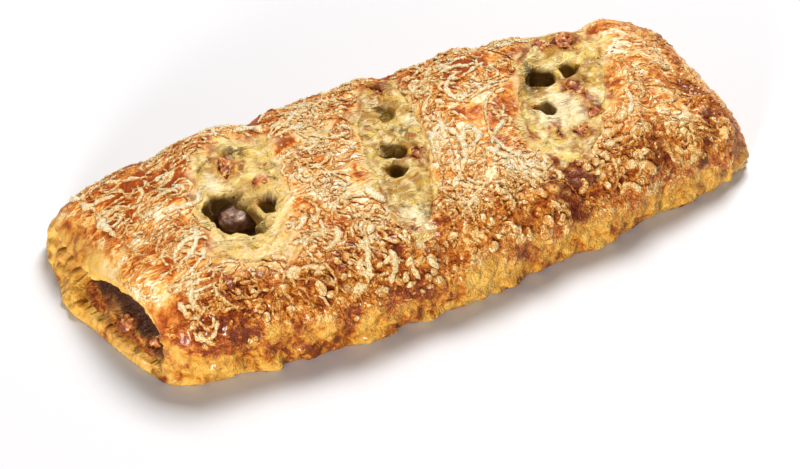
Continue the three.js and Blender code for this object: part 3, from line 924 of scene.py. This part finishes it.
def makeShreds(every, material, rng):
    curve = bpy.data.curves.new("shreds", "CURVE")
    curve.dimensions = "3D"
    curve.bevel_depth = 1.0 * mm
    curve.bevel_resolution = 1
    curve.use_fill_caps = True
    wobble, wobbles = cheese["wobble"]
    shades = []
    for s, across, heading, bend, reach, size in every:
        steps = np.linspace(-1.0, 1.0, max(5, round(2.0 * reach / cheese["stopLength"])))
        spline = curve.splines.new("POLY")
        spline.points.add(len(steps) - 1)
        shade = max(rng.random(), size)  # the thick ones stay pale
        places = crustPoints(*shredSpots(s, across, heading, bend, reach, steps))
        for point, step, place in zip(spline.points, steps, places):
            onto, up = onCrust(place)
            thick = size * (1.0 - cheese["taper"] * abs(step) ** 4)
            thick = thick * (1.0 + wobble * noise.noise(onto * wobbles))
            point.co = (*(onto + up * thick * sinkAt(place) * mm), 1.0)
            point.radius = thick
            shades.append((onto, shade))
    bm = bmesh.new()
    bm.from_mesh(finished(curve))
    bmesh.ops.remove_doubles(bm, verts=bm.verts, dist=0.001 * mm)  # the ends are closed
    addCheese("cheeseShreds", toMesh("shreds", bm), material, shades)


def makeCrumbs(every, material, rng):
    bm = bmesh.new()
    bmesh.ops.create_icosphere(bm, subdivisions=2, radius=1.0)
    ball = toMesh("ball", bm)
    bm = bmesh.new()
    shades = []
    for point, size in every:
        place, up = onCrust(point)
        turn = Vector(up).to_track_quat("Z", "Y").to_matrix().to_4x4()
        flat = Matrix.Diagonal((rng.uniform(0.9, 1.9), rng.uniform(0.7, 1.15), rng.uniform(0.4, 0.75), 1.0))
        spin = Matrix.Rotation(rng.uniform(0.0, 6.28), 4, "Z")
        stand = Matrix.Translation(Vector(place + up * size * sinkAt(point) * mm))
        crumb = ball.copy()
        crumb.transform(stand @ turn @ spin @ flat @ Matrix.Scale(size * mm, 4))
        bm.from_mesh(crumb)
        bpy.data.meshes.remove(crumb)
        shades.append((place, rng.random()))
    addCheese("cheeseCrumbs", toMesh("crumbs", bm), material, shades)


def makeCheese():
    rng = np.random.default_rng(cheese["fineSeed"])
    draw = numbers(cheese["seed"])
    material = cheeseMaterial()
    makeShreds(solidShreds(draw) + list(cheese["curls"]) + fineShreds(rng), material, rng)
    makeCrumbs(crumbSpots(draw, rng), material, rng)


makeCheese()


# ham: every lump of the solids, rounded and roughened
ham = {
    "levels": 3, "stands": 0.1, "large": "ham_1",
    "rounding": 40, "broader": 1.6, "blunt": 0.7, "bluntReach": 2.6,
    # roughness: height on the small pieces and on the large one, and how close it comes
    "rough": ((0.9, 0.7, 340.0), (1.0, 0.45, 900.0), (0.0, 1.8, 170.0)),
    "grey": tone(178, 140, 118), "dusk": tone(124, 88, 72), "pink": tone(208, 136, 72),
    "red": tone(174, 92, 54), "purple": tone(112, 58, 44), "fat": tone(236, 198, 130),
}
hamNames = sorted(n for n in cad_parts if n.startswith("ham_"))


# filling: the solid's own form, made fine, with a creamy lumpy skin
filling = {
    "voxel": 0.6, "evened": 5, "skin": 0.5, "stands": 0.5, "warp": 1.0, "warpSize": 3.6,
    "warpSeeds": (25.0, 26.0, 27.0),
    "liftNoise": ((0.7, 4.5, 21.0), (0.5, 1.9, 22.0)), "toWall": 1.3, "flatter": (1.0, 1.0, 0.25),
    "overHam": 1.5, "scrapHeight": 0.8,
    # burst bubbles: growth as a share of their size, and the most of it
    "burst": (0.15, 1.1),
    # their vent, offset from its middle, height and half sizes
    "bubbles": ((0, -3.2, -7.6, 22.3, (9.6, 8.4, 9.4)), (0, 6.2, -6.2, 23.3, (2.6, 2.4, 4.0)),
                (1, 5.0, 14.2, 22.8, (2.4, 2.6, 4.5)), (1, -0.4, -0.4, 22.3, (3.4, 3.0, 5.5)),
                (1, -2.6, -6.4, 22.3, (3.0, 2.6, 5.0)), (2, -2.8, 6.6, 23.3, (4.0, 4.0, 7.0)),
                (2, 4.8, 6.4, 23.3, (2.6, 2.6, 5.5)), (2, -8.0, -5.2, 22.8, (2.6, 2.2, 4.5))),
    # greyish olive places: x, y and size
    "herbs": ((-38.5, 18.0, 5.0), (-6.5, -22.0, 6.0), (4.0, 6.0, 4.5), (-4.0, 0.0, 4.0), (40.0, 4.0, 5.0),
              (44.0, 12.0, 4.0)),
    # pale smooth web: x, y and size
    "pale": ((47.5, -6.8, 8.0), (39.5, -9.5, 6.0), (10.0, 8.2, 4.5), (-10.3, -24.3, 4.5), (-49.0, 9.0, 4.0)),
    # tongues of filling that stand in the large bubble: place and half sizes
    "tongues": (((-41.0, -8.2, 18.8), (4.8, 4.4, 4.8)), ((-43.4, -2.6, 20.8), (1.3, 3.8, 1.4)),
                ((-42.6, 2.4, 20.6), (3.0, 2.6, 2.4))),
    # the colour for deep places is partly the filling's own baked brown, partly painted shade
    "brown": tone(124, 58, 12), "orange": tone(178, 102, 36), "pit": tone(98, 64, 24),
    "shade": tone(72, 36, 10), "speck": tone(20, 16, 10),
}


def fillingMaterial():
    material, tree, shader = newMaterial(
        "creamyFilling", Subsurface_Weight=0.12, Subsurface_Radius=(1.0, 0.7, 0.35), Subsurface_Scale=0.0012,
        Specular_IOR_Level=0.3, Coat_Roughness=0.2)
    spots = mottle(tree, 6.5, 1.7)
    lift, pit = attribute(tree, "lift"), attribute(tree, "pit")
    colour = useGroup(tree, creamGroup)["Colour"]
    colour = blend(tree, mask(tree, lift, 0.15, -0.6), colour, creamTones["deep"])
    colour = blend(tree, mask(tree, lift, 0.2, 1.0), colour, creamTones["web"])
    colour = blend(tree, attribute(tree, "rim"), colour, crust["soft"])
    herbs = times(tree, attribute(tree, "herbs"), mask(tree, mottle(tree, 3.0, 1.3)["Freckles"], 0.4, 0.56))
    colour = blend(tree, herbs, colour, creamTones["olive"])
    colour = blend(tree, attribute(tree, "pale"), colour, creamTones["web"])
    scraps = ramp(tree, mottle(tree, 2.6, 1.2)["Patches"], (0.36, filling["brown"]), (0.5, filling["orange"]),
                  (0.64, creamTones["yellow"]))
    colour = blend(tree, attribute(tree, "scraps"), colour, scraps)
    vector = objectPlace(tree)
    bits = cloud(tree, vector, 300.0, 3.0, 0.0)  # scraps of ham
    colour = blend(tree, mask(tree, bits, 0.63, 0.72), colour, filling["orange"])
    pepper = addNode(tree, "ShaderNodeTexVoronoi", {"Vector": vector, "Scale": 260.0}).outputs
    chance = addNode(tree, "ShaderNodeSeparateColor", {"Color": pepper["Color"]}).outputs["Green"]
    speck = times(tree, mask(tree, pepper["Distance"], 0.12, 0.08), mask(tree, chance, 0.6, 0.64))
    colour = blend(tree, speck, colour, filling["speck"])
    baked = ramp(tree, spots["Freckles"], (0.4, filling["brown"]), (0.56, filling["orange"]),
                 (0.74, creamTones["yellow"]))
    colour = blend(tree, attribute(tree, "baked"), colour, baked)
    # deep in the vents: partly brown filling, partly painted shade
    colour = blend(tree, pit, colour, filling["pit"])
    colour = blend(tree, attribute(tree, "shaded"), colour, filling["shade"])
    tree.links.new(colour, shader.inputs["Base Color"])
    tree.links.new(between(tree, pit, 0.48, 0.85), shader.inputs["Roughness"])
    tree.links.new(between(tree, pit, 0.15, 0.0), shader.inputs["Coat Weight"])
    bump(tree, shader, plus(tree, grains(tree, 2.2), streaks(tree, 1.1)), 0.65, 0.4)
    return material


def wholeFilling():
    bm = bmesh.new()
    bm.from_mesh(nodeCopy("filling"))
    for place, half in filling["tongues"]:
        stand = Matrix.Translation(Vector(toFrame(np.array(place))))
        shape = stand @ Matrix.Diagonal((*(h * mm for h in half), 1.0))
        bmesh.ops.create_icosphere(bm, subdivisions=3, radius=1.0, matrix=shape)
    remesh = {"mode": "VOXEL", "voxel_size": filling["voxel"] * mm}
    even = {"factor": 0.5, "iterations": filling["evened"]}
    return finished(toMesh("wholeFilling", bm), ("REMESH", remesh), ("SMOOTH", even))


# 1 in ragged round places, 0 past them
def placesShare(local, places, ragged, start, end):
    share = np.zeros(len(local))
    for px, py, size in places:
        away = np.hypot(local[:, 0] - px, local[:, 1] - py) / size + ragged
        share = np.maximum(share, 1.0 - ease(away, start, end))
    return share


# the push from the middles of the burst bubbles that widens them to their full size
def burstBubbles(local):
    push = np.zeros(local.shape)
    uneven = 1.0 + 0.9 * lumps(local, 3.0, 29.0)
    share, most = filling["burst"]
    for index, px, py, pz, half in filling["bubbles"]:
        away = (local - (vents[index]["x"] + px, vents[index]["y"] + py, pz)) / half
        distance = np.maximum(np.linalg.norm(away, axis=1), 1e-6)
        grow = min(share * sum(half) / 3.0, most) * uneven * (1.0 - ease(distance, 1.0, 1.5))
        push += away / distance[:, None] * grow[:, None]
    return push


def makeFilling():
    mesh = wholeFilling()
    points, normals = readPoints(mesh)
    local = toParcel(points)
    x, y, z = local.T
    inVents = ease(z, 10.0, 13.0)
    lift = layers(local, filling["liftNoise"])
    height = lift + filling["stands"]
    warp = np.stack([lumps(local, filling["warpSize"], seed) for seed in filling["warpSeeds"]], axis=-1)
    warp *= filling["warp"] * ((nearestVent(x, y) < 0.9) * inVents)[:, None]
    scraps = np.zeros(len(points))
    for name in hamNames:
        low, high = (np.array(corner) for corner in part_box(name))
        away = np.linalg.norm((points - (low + high) / 2.0) / ((high - low) / 2.0), axis=1)
        height += filling["overHam"] * (1.0 - ease(away, 1.1, 1.5))
        if name != ham["large"]:
            scraps = np.maximum(scraps, 1.0 - ease(away + 0.7 * lumps(local, 2.2, 35.0), 1.1, 2.1))
    height += filling["scrapHeight"] * scraps * puffs(local, 2.0, 36.0)
    reach = np.array([ventReach(vent, x, y) for vent in vents])
    middle = np.array([(vent["x"], vent["y"]) for vent in vents])[np.argmin(reach, axis=0)]
    outward = np.sum(normals[:, :2] * (local[:, :2] - middle), axis=1) > 0.0
    toWall = filling["toWall"] * ease(np.min(reach, axis=0), 0.7, 0.9) * inVents * outward
    spread = normals * filling["flatter"] * toWall[:, None] + burstBubbles(local)
    moved = points + (normals * (height * filling["skin"])[:, None] + warp + spread) * mm
    mesh.vertices.foreach_set("co", moved.ravel())
    mesh.update()

    # what the colours follow
    depth = crustPoints(shareAlong(x), shareAcross(x, y))[:, 2] - 1.3 - z
    # darker deeper inside the vents: partly the filling's own baked brown, partly painted shade
    pit = ease(depth, 0.5, 3.0) * (nearestVent(x, y) < 1.0) * mix(0.75, 0.6, ease(x, -30.0, -20.0))
    for place, half in filling["tongues"]:
        pit = pit * mix(0.25, 1.0, ease(np.linalg.norm((local - place) / half, axis=1), 1.1, 1.7))
    atMouth = ease(-x, 66.0, 72.0)
    baked = atMouth * (0.75 + 0.25 * ease(lumps(local, 5.0, 23.0), -0.5, 0.1))
    shaded = atMouth * ease(z + 1.2 * lumps(local, 4.0, 28.0), 5.6, 8.4)
    herbs = placesShare(local, filling["herbs"], 0.5 * lumps(local, 2.5, 24.0), 0.2, 1.0)
    pale = placesShare(local, filling["pale"], 0.4 * lumps(local, 3.0, 37.0), 0.5, 1.1)
    rim = 0.3 * ease(-x, 20.0, 28.0) * (1.0 - pit)
    addValues(mesh, pit=pit, lift=lift, shaded=shaded, rim=rim, baked=baked, herbs=herbs * 0.85,
              pale=pale * 0.8 * (1.0 - pit), scraps=scraps * 0.9 * (1.0 - pit))
    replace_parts(addPiece("creamFilling", mesh, fillingMaterial()), "filling")


makeFilling()


def hamMaterial():
    material, tree, shader = newMaterial(
        "bakedHam", Subsurface_Weight=0.15, Subsurface_Radius=(1.0, 0.35, 0.2), Subsurface_Scale=0.001,
        Roughness=0.45, Coat_Weight=0.15, Coat_Roughness=0.15)
    spots = mottle(tree, 2.4, 1.2)
    large = attribute(tree, "large")
    colour = ramp(tree, spots["Patches"], (0.34, ham["purple"]), (0.48, ham["red"]), (0.62, ham["pink"]))
    colour = blend(tree, mask(tree, spots["Freckles"], 0.52, 0.66), colour, ham["fat"])
    brown = blend(tree, mask(tree, spots["Patches"], 0.4, 0.62), ham["dusk"], ham["grey"])
    brown = blend(tree, mask(tree, spots["Freckles"], 0.5, 1.1), brown, ham["fat"])
    tree.links.new(blend(tree, large, colour, brown), shader.inputs["Base Color"])
    bump(tree, shader, times(tree, grains(tree, 1.2), between(tree, large, 1.0, 0.6)), 0.6, 0.35)
    return material


def makeHam():
    bm = bmesh.new()
    large = []
    for name in hamNames:
        fine = {"levels": ham["levels"], "render_levels": ham["levels"]}
        even = {"factor": 0.5, "iterations": ham["rounding"] if name == ham["large"] else 0}
        lump = finished(nodeCopy(name), ("SUBSURF", fine), ("SMOOTH", even))
        large += [float(name == ham["large"])] * len(lump.vertices)
        bm.from_mesh(lump)
    bm.normal_update()
    middle = sum((Vector(corner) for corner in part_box(ham["large"])), Vector()) / 2.0
    for vertex, share in zip(bm.verts, large):
        rough = sum(mix(small, big, share) * noise.noise(vertex.co * close)
                    for small, big, close in ham["rough"])
        aside = (vertex.co - middle) * share
        aside.z = 0.0
        inMiddle = max(0.0, 1.0 - aside.length / (ham["bluntReach"] * mm))
        vertex.co.z -= share * ham["blunt"] * mm * inMiddle ** 2
        outward = vertex.normal * (rough + ham["stands"]) * mm
        vertex.co += outward + aside.normalized() * min(aside.length, ham["broader"] * mm)
    mesh = toMesh("hamPieces", bm)
    addValues(mesh, large=large)
    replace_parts(addPiece("hamPieces", mesh, hamMaterial()), *hamNames)


makeHam()


# floor, lights and camera; a light has power, size and place
stage = {"floor": tone(220, 220, 222), "floorSize": 3.0, "floorZ": -0.0001, "world": tone(255, 246, 238),
         "worldStrength": 0.18, "aim": (0.0, 0.0, 0.01), "exposure": 0.15, "gamma": 0.9,
         "lights": {"key": (25.0, 0.6, (0.6, 0.55, 1.2)), "fill": (15.5, 0.3, (-0.86, -0.88, 0.23))}}


def makeStage():
    bm = bmesh.new()
    bmesh.ops.create_grid(bm, x_segments=1, y_segments=1, size=stage["floorSize"])
    bmesh.ops.translate(bm, verts=bm.verts, vec=(0.0, 0.0, stage["floorZ"]))
    mesh = toMesh("floor", bm)
    material, tree, shader = newMaterial("paleFloor", Roughness=0.9, Base_Color=stage["floor"])
    mesh.materials.append(material)
    floor = bpy.data.objects.new("floor", mesh)
    bpy.context.scene.collection.objects.link(floor)
    world = bpy.data.worlds.new("studio")
    world.use_nodes = True
    background = world.node_tree.nodes["Background"].inputs
    background["Color"].default_value = stage["world"]
    background["Strength"].default_value = stage["worldStrength"]
    bpy.context.scene.world = world
    for name, (power, size, place) in stage["lights"].items():
        light = bpy.data.lights.new(name, "AREA")
        light.energy = power
        light.size = size
        lamp = bpy.data.objects.new(name, light)
        lamp.location = place
        lamp.rotation_euler = (Vector(stage["aim"]) - Vector(place)).to_track_quat("-Z", "Y").to_euler()
        bpy.context.scene.collection.objects.link(lamp)
    look = bpy.context.scene.view_settings
    look.view_transform = "Standard"
    look.exposure = stage["exposure"]
    look.gamma = stage["gamma"]


# the photograph's view: degrees, millimetres, and pixels of an 800 by 469 image
camera = {"round": -28.0, "above": 42.0, "distance": 1100.0, "target": (-1.25, 0.0, 10.8),
          "imagePixels": (800.0, 469.0), "targetPixel": (396.4, 184.7), "focusPixels": 4265.8,
          "sensor": 36.0, "clipEnd": 20.0}


def makeCamera():
    turn, lift = math.radians(camera["round"]), math.radians(camera["above"])
    back = Vector((math.sin(turn) * math.cos(lift), -math.cos(turn) * math.cos(lift), math.sin(lift)))
    right = Vector((math.cos(turn), math.sin(turn), 0.0))
    up = back.cross(right)
    target = Vector(toFrame(np.array(camera["target"])))
    # the target keeps its place in the image
    wide, high = camera["imagePixels"]
    aside = (wide / 2.0 - camera["targetPixel"][0]) / camera["focusPixels"]
    below = (high / 2.0 - camera["targetPixel"][1]) / camera["focusPixels"]
    forward = (-back + right * aside - up * below).normalized()
    data = bpy.data.cameras.new("camera")
    data.sensor_width = camera["sensor"]
    data.lens = camera["focusPixels"] / wide * camera["sensor"]
    data.clip_end = camera["clipEnd"]
    seen = bpy.data.objects.new("camera", data)
    seen.location = target + back * camera["distance"] * mm
    sideways = forward.cross(up).normalized()
    upright = sideways.cross(forward)
    seen.rotation_euler = Matrix((sideways, upright, -forward)).transposed().to_euler()
    bpy.context.scene.collection.objects.link(seen)
    bpy.context.scene.camera = seen


makeStage()
makeCamera()
print("stage ready")
